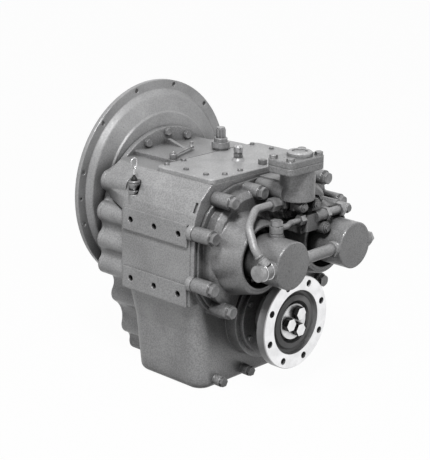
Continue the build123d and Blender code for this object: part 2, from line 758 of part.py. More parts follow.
# Aft cover: flange, crown, two rings around the shaft covers, filter column
pump_r = 38.0
lug_spots = [(lid_x + s * lid_bolt_x, lid_depth + t * lid_bolt_y) for s in (1, -1) for t in (1, -1)]
lid_box = (lid_x - lid_w / 2, lid_x + lid_w / 2, lid_depth - lid_len / 2, lid_depth + lid_len / 2)
with BuildPart() as aft_cover:
    cover_outline(cover_face, crown_inset, crown_depth - cover_face)
    crown_edges = aft_cover.faces().sort_by(Axis.Y)[0].edges()
    chamfer(crown_edges.filter_by(lambda e: e.center().Z > crown_low_z), crown_slope)
    cover_outline(cover_face, 0, cover_flange_t)
    for x, z in both_sides(cover_spots):
        disc(cover_face, boss_depth - cover_face, boss_r, x, z)
    for name, s in sides:
        for drop, less in ((0, 0), (ring_drop, 3)):
            foot = ring_foot_r - less
            top = ring_top_r - less
            end = ring_depth - less
            turned([(0, ring_start), (foot, ring_start), (foot, ring_knee), (top + 7, ring_waist),
                    (top, end - 3), (top - 3, end), (0, end)], s * clutch_x, clutch_z - drop)
    turned([(0, crown_depth - 2), (30, crown_depth - 2), (28, crown_depth + 14), (20, plug_boss_depth - 12),
            (17, plug_boss_depth), (0, plug_boss_depth)], 0, plug_z)
    block(-28, 38, cover_face + 10, column_depth - 20, 30, column_foot_z + 20)
    block(-28, 38, cover_face + 10, column_depth, column_foot_z, column_foot_z + 44)
    disc(cover_face + 10, column_depth - cover_face - 20, 24, -26, column_foot_z + 16)
    post(column_foot_z, lid_z - column_foot_z, column_r, 0, column_depth)
    block(column_r - 6, column_r + 6, column_depth - 44, column_depth + 12, column_foot_z + 4,
          column_flange_z + 5)
    block(*lid_box, column_flange_z, lid_z, lid_corner_r)
    turned([(0, crown_depth - 2), (18, crown_depth - 2), (18, feed_depth + 10), (12, feed_depth + 16),
            (0, feed_depth + 16)], -feed_root_x, feed_z)
    stub(feed_root_x, feed_stub_len, 15, feed_depth, feed_z, -1)
    disc(ring_knee, right_elbow_start - ring_knee, 15, right_elbow_x, right_feed_z)
    disc(cover_face, 40, output_boss_r + 2, 0, output_z, mode=Mode.SUBTRACT)
    cover_outline(cover_face - 1, cover_land, crown_depth - cover_wall - cover_face + 1, Mode.SUBTRACT)
    for name, s in sides:
        disc(cover_face - 1, ring_floor - wall - cover_face + 1, ring_cavity_r, s * clutch_x, clutch_z,
             mode=Mode.SUBTRACT)
    for z in (0, pump_z):
        disc(cover_face, crown_depth - cover_wall - cover_face + 1, pump_r, 0, z)
    for name, s in sides:
        disc(rear_seat_depth, ring_floor - rear_seat_depth - 5, rear_seat_r + seat_wall, s * clutch_x,
             clutch_z)
        disc(rear_seat_depth - 1, seat_w + 1, rear_seat_r, s * clutch_x, clutch_z, mode=Mode.SUBTRACT)
        disc(rear_seat_end - 1, ring_floor - rear_seat_end + 2, stub_r + wall, s * clutch_x, clutch_z,
             mode=Mode.SUBTRACT)
        disc(ring_floor, ring_depth, ring_recess_r, s * clutch_x, clutch_z, mode=Mode.SUBTRACT)
        for x, z in around(can_screw_count, (can_r + can_flange_r) / 2, 30, s * clutch_x, clutch_z):
            disc(ring_floor - 12, 13, small_screw_r, x, z, mode=Mode.SUBTRACT)
    for x, z in both_sides(cover_spots):
        disc(cover_face - 1, boss_depth - cover_face + 2, cover_bolt_r, x, z, mode=Mode.SUBTRACT)
    post(column_foot_z + 10, lid_z - column_foot_z, column_r - column_wall, 0, column_depth,
         mode=Mode.SUBTRACT)
    for x, depth in lug_spots:
        post(column_flange_z + 2, lid_z, lid_bolt_r, x, depth, mode=Mode.SUBTRACT)
finish(aft_cover, "aft_cover")

# Hex bolts of the aft cover
with BuildPart() as cover_bolts:
    for x, z in both_sides(cover_spots):
        bolt_aft(boss_depth, x, z, 30, 13, cover_bolt_r, boss_depth - rim_depth + rim_boss_t - 4)
finish(cover_bolts, "cover_bolts")

# Shaft covers: deep cups with a flange, oil ports and a running bore for the shaft end
can_flange_end = ring_floor + can_flange_t
can_end = can_depth - wall
for name, s in sides:
    with BuildPart() as shaft_cover:
        turned([(can_bore_r, ring_floor), (can_flange_r, ring_floor), (can_flange_r, can_flange_end),
                (can_r, can_flange_end), (can_r, can_depth - can_edge), (can_r - can_edge, can_depth),
                (0, can_depth), (0, can_end), (stub_r + fit, can_end), (stub_r + fit, can_head),
                (can_bore_r, can_head)], s * clutch_x, clutch_z)
        stub(clutch_x + can_r - 8, banjo_seat_x - clutch_x - can_r + 8, banjo_r + 2, port_depth, clutch_z, s)
        stub(can_r - clutch_x - 8, 11, cross_r + 5, port_depth, clutch_z, -s)
        if s < 0:
            post(clutch_z + can_r - 10, 18, 18, -link_x, link_depth)
            post(clutch_z + can_r - 8, 18, banjo_shank_r, -link_x, link_depth, mode=Mode.SUBTRACT)
        stub(banjo_seat_x - 12, 14, banjo_shank_r, port_depth, clutch_z, s, mode=Mode.SUBTRACT)
        for x, z in around(can_screw_count, (can_r + can_flange_r) / 2, 30, s * clutch_x, clutch_z):
            disc(ring_floor - 1, can_flange_t + 2, small_screw_r, x, z, mode=Mode.SUBTRACT)
    finish(shaft_cover, name + "_shaft_cover")

# Screws of the shaft covers and of the seal carrier
with BuildPart() as small_screws:
    for name, s in sides:
        for x, z in around(can_screw_count, (can_r + can_flange_r) / 2, 30, s * clutch_x, clutch_z):
            bolt_aft(can_flange_end, x, z, small_screw_head, 6, small_screw_r, can_flange_t + 10)
    for x, z in around(can_screw_count, carrier_screw_r, 30, 0, output_z):
        bolt_aft(output_boss_end + carrier_t, x, z, small_screw_head, 6, small_screw_r, carrier_t + 12)
finish(small_screws, "small_screws")

# Banjo bolts on the left shaft cover, and the plug in the right one's outer port
link_seat_z = clutch_z + can_r + 8
with BuildPart() as banjo_bolts:
    stub(banjo_seat_x + banjo_w + 2, 15, banjo_r, port_depth, clutch_z, -1)
    stub(banjo_seat_x - 10, banjo_w + 12, banjo_shank_r, port_depth, clutch_z, -1)
    hexagon(side(banjo_seat_x + 2, port_depth, clutch_z), 30, 14)
    stub(banjo_seat_x - 10, 12, banjo_shank_r, port_depth, clutch_z)
    bolt_up(link_seat_z + link_ring_h + 2, -link_x, link_depth, 27, 12, banjo_shank_r, link_ring_h + 8)
finish(banjo_bolts, "banjo_bolts")


# Pipes
ring_mid_x = banjo_seat_x + banjo_w / 2 + 1
feed_start_x = -feed_root_x - feed_stub_len
with BuildPart() as left_feed_pipe:
    pipe([(feed_start_x, feed_depth, feed_z), (-128, feed_depth, feed_z), (-188, 522, 22),
          (-212, 566, -24), (-ring_mid_x, port_depth, clutch_z + banjo_r - 3)], feed_r, feed_bend)
    stub(banjo_seat_x, banjo_w + 2, banjo_r - 3, port_depth, clutch_z, -1, bore=banjo_shank_r)
    stub(banjo_seat_x + 1.5, banjo_w - 1, banjo_r, port_depth, clutch_z, -1, bore=banjo_shank_r)
finish(left_feed_pipe, "left_feed_pipe")

valve_side_x = 53.0
valve_stub_x = 72.0
with BuildPart() as right_feed_pipe:
    stub(valve_stub_x, right_elbow_x - valve_stub_x, right_feed_r, right_feed_depth, right_feed_z,
         bore=right_feed_r - pipe_wall)
    turned([(0, right_elbow_start), (13, right_elbow_start), (13, right_feed_depth + 9),
            (9, right_feed_depth + 14), (0, right_feed_depth + 14)], right_elbow_x, right_feed_z)
finish(right_feed_pipe, "right_feed_pipe")

cross_end_x = clutch_x - can_r - 3
with BuildPart() as cross_pipe:
    stub(-cross_end_x, 2 * cross_end_x, cross_r, port_depth, clutch_z, bore=cross_r - pipe_wall)
    for s in (1, -1):
        stub(cross_end_x - 8, 8, cross_r + 5, port_depth, clutch_z, s, bore=cross_r - pipe_wall)
finish(cross_pipe, "cross_pipe")

link_end_x = 2.0
with BuildPart() as link_pipe:
    pipe([(-link_x + banjo_shank_r + 3, link_depth, link_z), (-72, link_depth, link_z),
          (-48, link_end_depth, link_z), (link_end_x, link_end_depth, link_z)], link_r, 12)
    post(link_seat_z, link_ring_h + 2, 13, -link_x, link_depth, bore=banjo_shank_r)
    post(link_seat_z + 1.5, link_ring_h - 1, 17, -link_x, link_depth, bore=banjo_shank_r)
finish(link_pipe, "link_pipe")

# Union nuts on the pipes
with BuildPart() as pipe_unions:
    hexagon(side(feed_start_x - 26, feed_depth, feed_z), 30, 26, feed_r)
    for x, across, height in ((valve_stub_x, 32, 12), (right_elbow_x - 29, 32, 15)):
        hexagon(side(x, right_feed_depth, right_feed_z), across, height, right_feed_r)
    hexagon(side(link_end_x - 17, link_end_depth, link_z), 24, 17, link_r)
finish(pipe_unions, "pipe_unions")

# Valve block between the shaft covers, with its valve barrels as x, z, depth, length and radius
barrel_depth = valve_step - 2
barrels = [(-12, 40, barrel_depth, 26, 13), (36, 39, barrel_depth, 26, 14), (60, -24, barrel_depth, 40, 15)]
with BuildPart() as valve_block:
    block(0, 18, crown_depth, valve_step + 6, -34, -18)
    block(link_end_x, valve_side_x, valve_step, valve_aft, valve_low_z, valve_high_z, 3)
    block(-24, valve_side_x, valve_front, valve_step, 28, 50, 3)
    block(28, 46, valve_front, valve_step + 2, -10, 32)
    for x, z, depth, length, radius in barrels:
        disc(depth, length, radius, x, z)
    stub(36, valve_stub_x - 36, 15, right_feed_depth, right_feed_z)
finish(valve_block, "valve_block")

# Plugs: input axis, valve barrels, drains and top cover
with BuildPart() as plugs:
    hexagon(aft(plug_boss_depth, 0, plug_z), 30, 8)
    disc(plug_boss_depth + 8, 12, 11, 0, plug_z)
    for x, z, depth, length, radius in barrels:
        disc(depth + length, 4, radius - 3, x, z)
        hexagon(aft(depth + length + 4, x, z), radius, 3)
    stub(valve_side_x, 22, 6, valve_front + 7, 39)
    hexagon(side(valve_side_x + 22, valve_front + 7, 39), 20, 9)
    for x in (-149, -45):
        hexagon(aft(rim_depth + 10, x, sump_z + 22), 22, 8)
    hexagon(level(plate_top, 21, 378), 20, 12)
finish(plugs, "plugs")

# Filter lid, cap, bolts and element
with BuildPart() as filter_lid:
    block(*lid_box, lid_z, lid_top, lid_corner_r)
    chamfer(filter_lid.faces().sort_by(Axis.Z)[-1].edges(), 2)
    for x, depth in lug_spots:
        post(lid_z - 1, lid_t + 2, lid_bolt_r, x, depth, mode=Mode.SUBTRACT)
finish(filter_lid, "filter_lid")

with BuildPart() as filter_cap:
    post(lid_top, cap_t, cap_r, 0, lid_depth)
    chamfer(filter_cap.faces().sort_by(Axis.Z)[-1].edges(), 3)
    post(lid_top + cap_t - 3, 4, cap_r - 12, 0, lid_depth, mode=Mode.SUBTRACT)
finish(filter_cap, "filter_cap")

with BuildPart() as filter_lid_bolts:
    for x, depth in lug_spots:
        bolt_up(lid_top, x, depth, bell_bolt_head, 8, lid_bolt_r, lid_t + 12)
finish(filter_lid_bolts, "filter_lid_bolts")

with BuildPart() as filter_element:
    post(column_foot_z + 10, lid_z - column_foot_z - 12, element_r, 0, column_depth, bore=element_r / 2)
finish(filter_element, "filter_element")

# Dipstick tube and dipstick
with BuildPart() as dipstick_tube:
    post(dip_boss_z - 30, dip_tube_top - dip_boss_z + 20, dip_tube_r, dip_x, dip_depth)
    hexagon(level(dip_boss_z, dip_x, dip_depth), 26, 10)
    post(dip_tube_top - 11, 11, dip_tube_r + 3, dip_x, dip_depth)
    post(dip_boss_z - 31, dip_tube_top, dip_bore_r, dip_x, dip_depth, mode=Mode.SUBTRACT)
finish(dipstick_tube, "dipstick_tube")

loop_r = 12.0
with BuildPart() as dipstick:
    post(dip_low_z, dip_loop_z - loop_r - dip_low_z, dip_rod_r, dip_x, dip_depth)
    post(dip_tube_top, 8, dip_tube_r, dip_x, dip_depth)
    with BuildSketch(Plane(origin=(dip_x, -dip_depth, dip_loop_z), x_dir=(1, 0, 0), z_dir=(0, 0, 1))):
        with Locations((loop_r, 0)):
            Circle(dip_rod_r)
    revolve(axis=Axis((dip_x, -dip_depth, dip_loop_z), (0, 1, 0)))
finish(dipstick, "dipstick")

# Selector lever on its upright pin
tip_x = lever_len * cos(radians(lever_turn))
tip_y = lever_len * sin(radians(lever_turn))
lever_boss_top = plate_top + 2
with BuildPart() as selector_lever:
    post(top_z - wall + 6, lever_z + 14 - top_z + wall - 6, lever_pin_r, lever_x, lever_depth)
    post(lever_boss_top + clearance, lever_z + 8 - lever_boss_top, lever_pin_r + 4, lever_x, lever_depth)
    with BuildSketch(level(lever_z, lever_x + tip_x / 2, lever_depth - tip_y / 2)):
        SlotCenterToCenter(lever_len, 11, rotation=lever_turn)
    extrude(amount=6)
    post(lever_z, 18, 5, lever_x + tip_x, lever_depth - tip_y)
finish(selector_lever, "selector_lever")

# Seal carrier on the output boss, and the shaft seals
carrier_end = output_boss_end + carrier_t
with BuildPart() as seal_carrier:
    turned([(seal_r - 3, output_seat_end + 1), (aft_output_seat_r, output_seat_end + 1),
            (aft_output_seat_r, output_boss_end), (carrier_r, output_boss_end), (carrier_r, carrier_end),
            (hub_r + 3, carrier_end), (hub_r + 3, carrier_end - 5), (seal_r, carrier_end - 5),
            (seal_r, output_seat_end + 6), (seal_r - 3, output_seat_end + 6)], 0, output_z)
    for x, z in around(can_screw_count, carrier_screw_r, 30, 0, output_z):
        disc(output_boss_end - 1, carrier_t + 2, small_screw_r, x, z, mode=Mode.SUBTRACT)
finish(seal_carrier, "seal_carrier")

with BuildPart() as shaft_seals:
    disc(carrier_end - 5 - seal_w, seal_w, seal_r, 0, output_z, bore=hub_r + fit)
    disc(face_depth + 2, seal_w, input_seal_r, bore=input_shaft_r + fit)
finish(shaft_seals, "shaft_seals")

# Outer bearing rings, all held by the housing
with BuildPart() as outer_races:
    for name, s in sides:
        outer_race(seat_depth, seat_w, front_seat_r, clutch_shaft_r, s * clutch_x, clutch_z)
        outer_race(rear_seat_depth, seat_w, rear_seat_r, clutch_shaft_r, s * clutch_x, clutch_z)
    outer_race(seat_depth, seat_w, input_seat_r, input_shaft_r, 0, 0)
    outer_race(seat_depth, seat_w, front_output_seat_r, output_shaft_r, 0, output_z)
    outer_race(output_seat_depth, output_seat_w, aft_output_seat_r, output_shaft_r, 0, output_z)
finish(outer_races, "outer_races")

# Gear pump on the inner face of the aft cover
pump_front = 364.0
pump_gear_depth = 378.0
pump_tip_r = pump_module * (pump_teeth / 2 + stub_tooth)
with BuildPart() as pump_housing:
    for z in (0, pump_z):
        disc(pump_front, cover_face - pump_front, pump_r, 0, z)
    for z in (0, pump_z):
        disc(pump_gear_depth - clearance, cover_face, pump_tip_r + clearance, 0, z, mode=Mode.SUBTRACT)
    disc(pump_front - 1, 20, quill_r + clearance, mode=Mode.SUBTRACT)
    disc(pump_front + 2, 20, idler_pin_r + fit, 0, pump_z, mode=Mode.SUBTRACT)
finish(pump_housing, "pump_housing")

pump_gear_w = cover_face - 2 * clearance - pump_gear_depth
with BuildPart() as pump_quill:
    disc(drive_depth + drive_w + 6, pump_gear_depth - drive_depth - drive_w - 6, quill_r)
    gear(pump_module, pump_teeth, 0, pump_gear_depth, pump_gear_w, 0, 0, addendum=stub_tooth)
finish(pump_quill, "pump_quill")

with BuildPart() as pump_idler:
    disc(pump_front + 3, pump_gear_depth - pump_front - 3, idler_pin_r, 0, pump_z)
    gear(pump_module, pump_teeth, mate_phase(0, pump_teeth, pump_teeth, -90), pump_gear_depth, pump_gear_w,
         0, pump_z, addendum=stub_tooth)
finish(pump_idler, "pump_idler")

# Input shaft with its splined end and drive pinion
drive_direction = degrees(atan2(-clutch_z, clutch_x))
with BuildPart() as input_shaft:
    gear(spline_module, spline_teeth, 0, 4, 34, 0, 0)
    disc(38, drive_depth - 38, input_shaft_r)
    gear(fast_module, drive_teeth, mate_phase(0, drive_teeth, drive_teeth, drive_direction), drive_depth,
         drive_w, 0, 0)
    disc(drive_depth + drive_w, 6, input_shaft_r)
finish(input_shaft, "input_shaft")

with BuildPart() as input_bearing:
    inner_race(seat_depth, seat_w, input_seat_r, input_shaft_r, 0, 0)
finish(input_bearing, "input_bearing")

# Clutch shafts, drums, plates, pistons and bearings on both sides
transfer_phase = {"left": 0.0, "right": mate_phase(0, transfer_teeth, transfer_teeth, 0)}
for name, s in sides:
    x = s * clutch_x
    with BuildPart() as clutch_shaft:
        disc(seat_depth + 2, rear_seat_end + 3 - seat_depth - 2, clutch_shaft_r, x, clutch_z)
        disc(rear_seat_end + 3, can_depth - wall - 10 - rear_seat_end - 3, stub_r, x, clutch_z)
        gear(fast_module, transfer_teeth, transfer_phase[name], transfer_depth, transfer_w, x, clutch_z,
             addendum=stub_tooth)
    finish(clutch_shaft, name + "_clutch_shaft")
    with BuildPart() as drum:
        turned([(clutch_shaft_r, drum_depth), (drum_r, drum_depth), (drum_r, drum_depth + drum_w),
                (drum_r - drum_wall, drum_depth + drum_w), (drum_r - drum_wall, drum_depth + drum_web),
                (drum_sleeve_r, drum_depth + drum_web), (drum_sleeve_r, stack_depth - 1),
                (clutch_shaft_r, stack_depth - 1)], x, clutch_z)
    finish(drum, name + "_drum")
    with BuildPart() as piston:
        disc(piston_depth, piston_w, drum_r - drum_wall - fit, x, clutch_z, bore=drum_sleeve_r + fit)
    finish(piston, name + "_piston")
    with BuildPart() as steel_plates:
        for n in range(plate_count):
            disc(stack_depth + n * stack_pitch, disc_w, drum_r - drum_wall, x, clutch_z, bore=steel_bore_r)
        disc(stack_end, backing_w, drum_r - drum_wall, x, clutch_z, bore=steel_bore_r)
    finish(steel_plates, name + "_steel_plates")
    with BuildPart() as friction_discs:
        for n in range(plate_count):
            disc(stack_depth + (n + 0.5) * stack_pitch, disc_w, friction_r, x, clutch_z, bore=hub_sleeve_r)
    finish(friction_discs, name + "_friction_discs")
    with BuildPart() as bearings:
        inner_race(seat_depth, seat_w, front_seat_r, clutch_shaft_r, x, clutch_z)
        inner_race(rear_seat_depth, seat_w, rear_seat_r, clutch_shaft_r, x, clutch_z)
    finish(bearings, name + "_bearings")

with BuildPart() as left_drive_gear:
    gear(fast_module, drive_teeth, 0, drive_depth, drive_w, -clutch_x, clutch_z, bore=clutch_shaft_r)
finish(left_drive_gear, "left_drive_gear")

# Output pinions that run on the clutch shafts, with the hubs of the friction discs
hub_depth = stack_depth + 1
for name, s in sides:
    x = s * clutch_x
    direction = degrees(atan2(clutch_z - output_z, x))
    with BuildPart() as pinion:
        disc(hub_depth, stack_end + 4 - hub_depth, hub_sleeve_r, x, clutch_z)
        disc(stack_end + 4, pinion_depth - stack_end - 4, hub_neck_r, x, clutch_z)
        gear(slow_module, pinion_teeth, mate_phase(0, bull_teeth, pinion_teeth, direction), pinion_depth,
             pinion_w, x, clutch_z)
        disc(hub_depth - 1, pinion_depth + pinion_w, clutch_shaft_r + fit, x, clutch_z, mode=Mode.SUBTRACT)
        relief_len = pinion_depth + pinion_w - hub_depth - 2 * bush_len
        disc(hub_depth + bush_len, relief_len, clutch_shaft_r + bush_relief, x, clutch_z, mode=Mode.SUBTRACT)
    finish(pinion, name + "_pinion")

# Output shaft, bull gear, flange and retainer
with BuildPart() as output_shaft:
    disc(seat_depth + 2, retainer_face - retainer_t - seat_depth - 2, output_shaft_r, 0, output_z)
    for x, z in around(3, retainer_bolt_circle_r, 60, 0, output_z):
        disc(retainer_face - retainer_t - 30, 31, retainer_bolt_r, x, z, mode=Mode.SUBTRACT)
finish(output_shaft, "output_shaft")

with BuildPart() as bull_gear:
    gear(slow_module, bull_teeth, 0, pinion_depth, pinion_w, 0, output_z, bore=output_shaft_r)
    disc(pinion_depth - 12, 12, output_shaft_r + 22, 0, output_z, bore=output_shaft_r)
    for depth in (pinion_depth - 1, pinion_depth + pinion_w - 9):
        disc(depth, 10, 130, 0, output_z, bore=output_shaft_r + 30, mode=Mode.SUBTRACT)
    for x, z in around(6, 99, 0, 0, output_z):
        disc(pinion_depth, pinion_w, 20, x, z, mode=Mode.SUBTRACT)
finish(bull_gear, "bull_gear")

with BuildPart() as output_bearings:
    inner_race(seat_depth, seat_w, front_output_seat_r, output_shaft_r, 0, output_z)
    inner_race(output_seat_depth, output_seat_w, aft_output_seat_r, output_shaft_r, 0, output_z)
finish(output_bearings, "output_bearings")

retainer_seat = retainer_face - retainer_t
flange_back = flange_face - flange_t
with BuildPart() as output_flange:
    turned([(output_shaft_r, output_seat_end + 1), (hub_r, output_seat_end + 1), (hub_r, flange_back),
            (flange_r - 2, flange_back), (flange_r, flange_back + 2), (flange_r, flange_face - 2),
            (flange_r - 2, flange_face), (recess_r, flange_face), (recess_r - 4, flange_face - 9),
            (recess_r - 12, flange_face - 13), (recess_r - 14, flange_face - 7),
            (retainer_r + 8, flange_face - 5), (retainer_r + 6, flange_face - 15),
            (retainer_r + 1, retainer_seat), (output_shaft_r, retainer_seat)], 0, output_z)
    for x, z in around(flange_hole_count, flange_circle_r, flange_turn, 0, output_z):
        disc(flange_back - 1, flange_t + 2, flange_hole_r, x, z, mode=Mode.SUBTRACT)
finish(output_flange, "output_flange")

with BuildPart() as retaining_disc:
    disc(retainer_seat, retainer_t, retainer_r, 0, output_z)
    chamfer(retaining_disc.faces().sort_by(Axis.Y)[0].edges(), 2)
    for x, z in around(3, retainer_bolt_circle_r, 60, 0, output_z):
        disc(retainer_seat - 1, retainer_t + 2, retainer_bolt_r, x, z, mode=Mode.SUBTRACT)
finish(retaining_disc, "retaining_disc")

with BuildPart() as retaining_bolts:
    for x, z in around(3, retainer_bolt_circle_r, 60, 0, output_z):
        bolt_aft(retainer_face, x, z, 30, 15, retainer_bolt_r, retainer_t + 28)
finish(retaining_bolts, "retaining_bolts")
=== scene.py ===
from math import cos, pi, radians, sin, sqrt, tan
import bmesh
import bpy
from mathutils import Matrix, Vector


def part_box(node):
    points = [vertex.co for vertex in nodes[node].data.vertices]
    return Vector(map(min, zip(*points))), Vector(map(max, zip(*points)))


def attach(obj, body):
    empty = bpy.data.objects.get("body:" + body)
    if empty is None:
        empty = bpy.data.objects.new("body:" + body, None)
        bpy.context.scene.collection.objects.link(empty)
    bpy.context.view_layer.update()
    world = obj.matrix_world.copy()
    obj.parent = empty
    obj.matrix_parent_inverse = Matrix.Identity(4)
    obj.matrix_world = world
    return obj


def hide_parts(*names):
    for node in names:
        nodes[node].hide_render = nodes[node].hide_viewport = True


# Marine gearbox: looks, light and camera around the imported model, in metres
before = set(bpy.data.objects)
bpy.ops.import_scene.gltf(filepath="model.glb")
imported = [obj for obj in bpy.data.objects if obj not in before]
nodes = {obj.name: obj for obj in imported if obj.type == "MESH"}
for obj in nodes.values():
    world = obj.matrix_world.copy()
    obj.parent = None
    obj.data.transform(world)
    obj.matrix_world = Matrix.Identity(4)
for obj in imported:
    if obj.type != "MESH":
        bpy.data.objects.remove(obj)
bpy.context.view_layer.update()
MM = 0.001

# Camera, at the photograph's viewing angle
IMAGE_SIZE = (430, 460)
AZIMUTH = radians(-46.84)
ELEVATION = radians(17.02)
ROLL = radians(0.96)
DISTANCE = 4.0
TARGET = Vector((0.24249, -0.00979, -0.19063))
FOCAL_LENGTH_PX = 1394.07
SENSOR = 36.0
CLIP_END = 50

# Lamps, each with its place and size in metres and its power in watts
LAMP_AIM = (0, -0.3, -0.1)
LAMPS = {
    "key": ((-1.9, -1.6, 3.5), 1.1, 225.0),
    "side": ((-3.8, -0.4, 0.6), 1.6, 11.0),
    "fill": ((2.4, -3.4, 1.2), 2.4, 4.0),
}

# World and floor
AMBIENT = 0.09
WORLD_WHITE = 1.0
FLOOR_WHITE = 1.06
FLOOR_MATT = 0.15
FLOOR_HALF = 20.0
SHADOW_SHARE = 0.08

# Materials
SPECULAR = 0.3
BLUE_TINT = 1.01
LATHE_SCALE = 260
MOTTLE_SIZE = 6
BEVEL_SAMPLES = 4

# Reach in metres of scuffed edges with their painted highlight, and of painted shade where surfaces close in
WORN_AND_LIT_EDGE = 0.0025
PAINT_SHADE_REACH = 0.07
STEEL_SHADE_REACH = 0.012
FLANGE_SHADE_REACH = 0.01
DISC_SHADE_REACH = 0.02

# Scuffing with a painted highlight as the rounded normal leaves the true one, and a face that looks aft, both
# as cosines
WEAR_AND_HIGHLIGHT_STARTS, WEAR_AND_HIGHLIGHT_FULL = 0.97, 0.75
AFT_STARTS, AFT_FULL = -0.5, -0.9

# Sockets of the node that mixes colours
MIX_SHARE, MIX_FIRST, MIX_SECOND = 0, 6, 7
MIX_RESULT = 2

# Bolts of each node: the axis they lie along, and in millimetres the size across the head's flats,
# the shank's radius and the washer's radius
LENGTHWISE, UPRIGHT = 1, 2
BOLTS = {
    "cover_bolts": (LENGTHWISE, 28, 9.9, 17),
    "bell_bolts": (LENGTHWISE, 19, 5.9, 11),
    "housing_screws": (LENGTHWISE, 19, 5.9, 11),
    "small_screws": (LENGTHWISE, 12, 3.9, 7),
    "top_screws": (UPRIGHT, 12, 3.9, 7.5),
    "filter_lid_bolts": (UPRIGHT, 18, 5.9, 11),
}

# Turn of a node's first bolt head and the step to the next one, in radians
FIRST_TURN = 0.4
TURN_STEP = 1.1

# Shape of a bolt head, and how close two points or two levels of a CAD mesh count as the same
HEAD_SIDES = 24
HEAD_CHAMFER = tan(radians(30))
SAME_POINT = 0.01 * MM
SAME_LEVEL = 0.02 * MM

# Turned pieces
UP = Vector((0, 0, 1))
TURNED_SIDES = 40
HEXAGON = 6
SHARP_ANGLE = radians(40)

# Loop of the dipstick's handle: how far it widens, how sharply it narrows at its foot, and its points
LOOP_SWELL = 1.15
LOOP_TAPER = 0.7
LOOP_POINTS = 48

# Sides of the selector lever's arm
ARM_SIDES = 16

# Output flange, dipstick, selector lever and left feed pipe: places and sizes in millimetres
BRIGHT_RING_INNER = 84
DIPSTICK_SPOT = (-232, -175)
DIPSTICK_TUBE_TOP = 77
LOOP_MIDDLE = 119.5
LOOP_HALF_WIDTH = 10.5
LOOP_HALF_HEIGHT = 14.0
HANDLE_WIRE_R = 1.7
STEM_R = 2.2
PLATE_TOP = 112
LEVER_SPOT = (-112, -193)
LEVER_TIP = (-12.3, -160)
LEVER_Z = 121
LEVER_GAP = 2.5
ARM_MIDDLE = 3
FEED_LAST_BEND = (-212, -566, -24)
FEED_END = (-198.5, -586)
FEED_R = 10
CLAMP_PLACE = 22
BANJO_RIM_R = 17
BANJO_SHANK_R = 9
BANJO_FACES_X = (-187, -208.5)
WASHER_T = 1.4


def make_camera():
    """Camera that looks at the target, rolled a little about its own axis."""
    back = Vector((sin(AZIMUTH) * cos(ELEVATION), -cos(AZIMUTH) * cos(ELEVATION), sin(ELEVATION)))
    right = Vector((cos(AZIMUTH), sin(AZIMUTH), 0))
    up = back.cross(right)
    rolled_right = right * cos(ROLL) + up * sin(ROLL)
    rolled_up = up * cos(ROLL) - right * sin(ROLL)
    place = TARGET + back * DISTANCE
    lens = bpy.data.cameras.new("camera")
    lens.sensor_width = SENSOR
    lens.lens = FOCAL_LENGTH_PX * SENSOR / max(IMAGE_SIZE)
    lens.clip_end = CLIP_END
    camera = bpy.data.objects.new("camera", lens)
    turn = Matrix((rolled_right, rolled_up, back)).transposed().to_4x4()
    camera.matrix_world = Matrix.Translation(place) @ turn
    bpy.context.scene.collection.objects.link(camera)
    bpy.context.scene.camera = camera


def make_lamps():
    """Round lamps: a strong key from above, a weak side lamp and a faint fill."""
    for name, (place, size, power) in LAMPS.items():
        light = bpy.data.lights.new(name, "AREA")
        light.shape = "DISK"
        light.size = size
        light.energy = power
        holder = bpy.data.objects.new(name, light)
        direction = Vector(LAMP_AIM) - Vector(place)
        holder.rotation_euler = direction.to_track_quat("-Z", "Y").to_euler()
        holder.location = place
        bpy.context.scene.collection.objects.link(holder)


def seen_directly(tree):
    """1 for camera, glossy and transmission rays, and 0 for the rays that light the object."""
    path = tree.nodes.new("ShaderNodeLightPath")
    seen = path.outputs["Is Camera Ray"]
    for kind in ("Is Glossy Ray", "Is Transmission Ray"):
        either = tree.nodes.new("ShaderNodeMath")
        either.operation = "MAXIMUM"
        tree.links.new(seen, either.inputs[0])
        tree.links.new(path.outputs[kind], either.inputs[1])
        seen = either.outputs[0]
    return seen


def make_world():
    """Soft light on the object, and white wherever the world is seen directly."""
    world = bpy.data.worlds.new("studio")
    world.use_nodes = True
    tree = world.node_tree
    tree.nodes.clear()
    mix = tree.nodes.new("ShaderNodeMixShader")
    out = tree.nodes.new("ShaderNodeOutputWorld")
    tree.links.new(seen_directly(tree), mix.inputs[0])
    for number, strength in ((1, AMBIENT), (2, WORLD_WHITE)):
        background = tree.nodes.new("ShaderNodeBackground")
        background.inputs["Color"].default_value = (1, 1, 1, 1)
        background.inputs["Strength"].default_value = strength
        tree.links.new(background.outputs[0], mix.inputs[number])
    tree.links.new(mix.outputs[0], out.inputs[0])
    bpy.context.scene.world = world


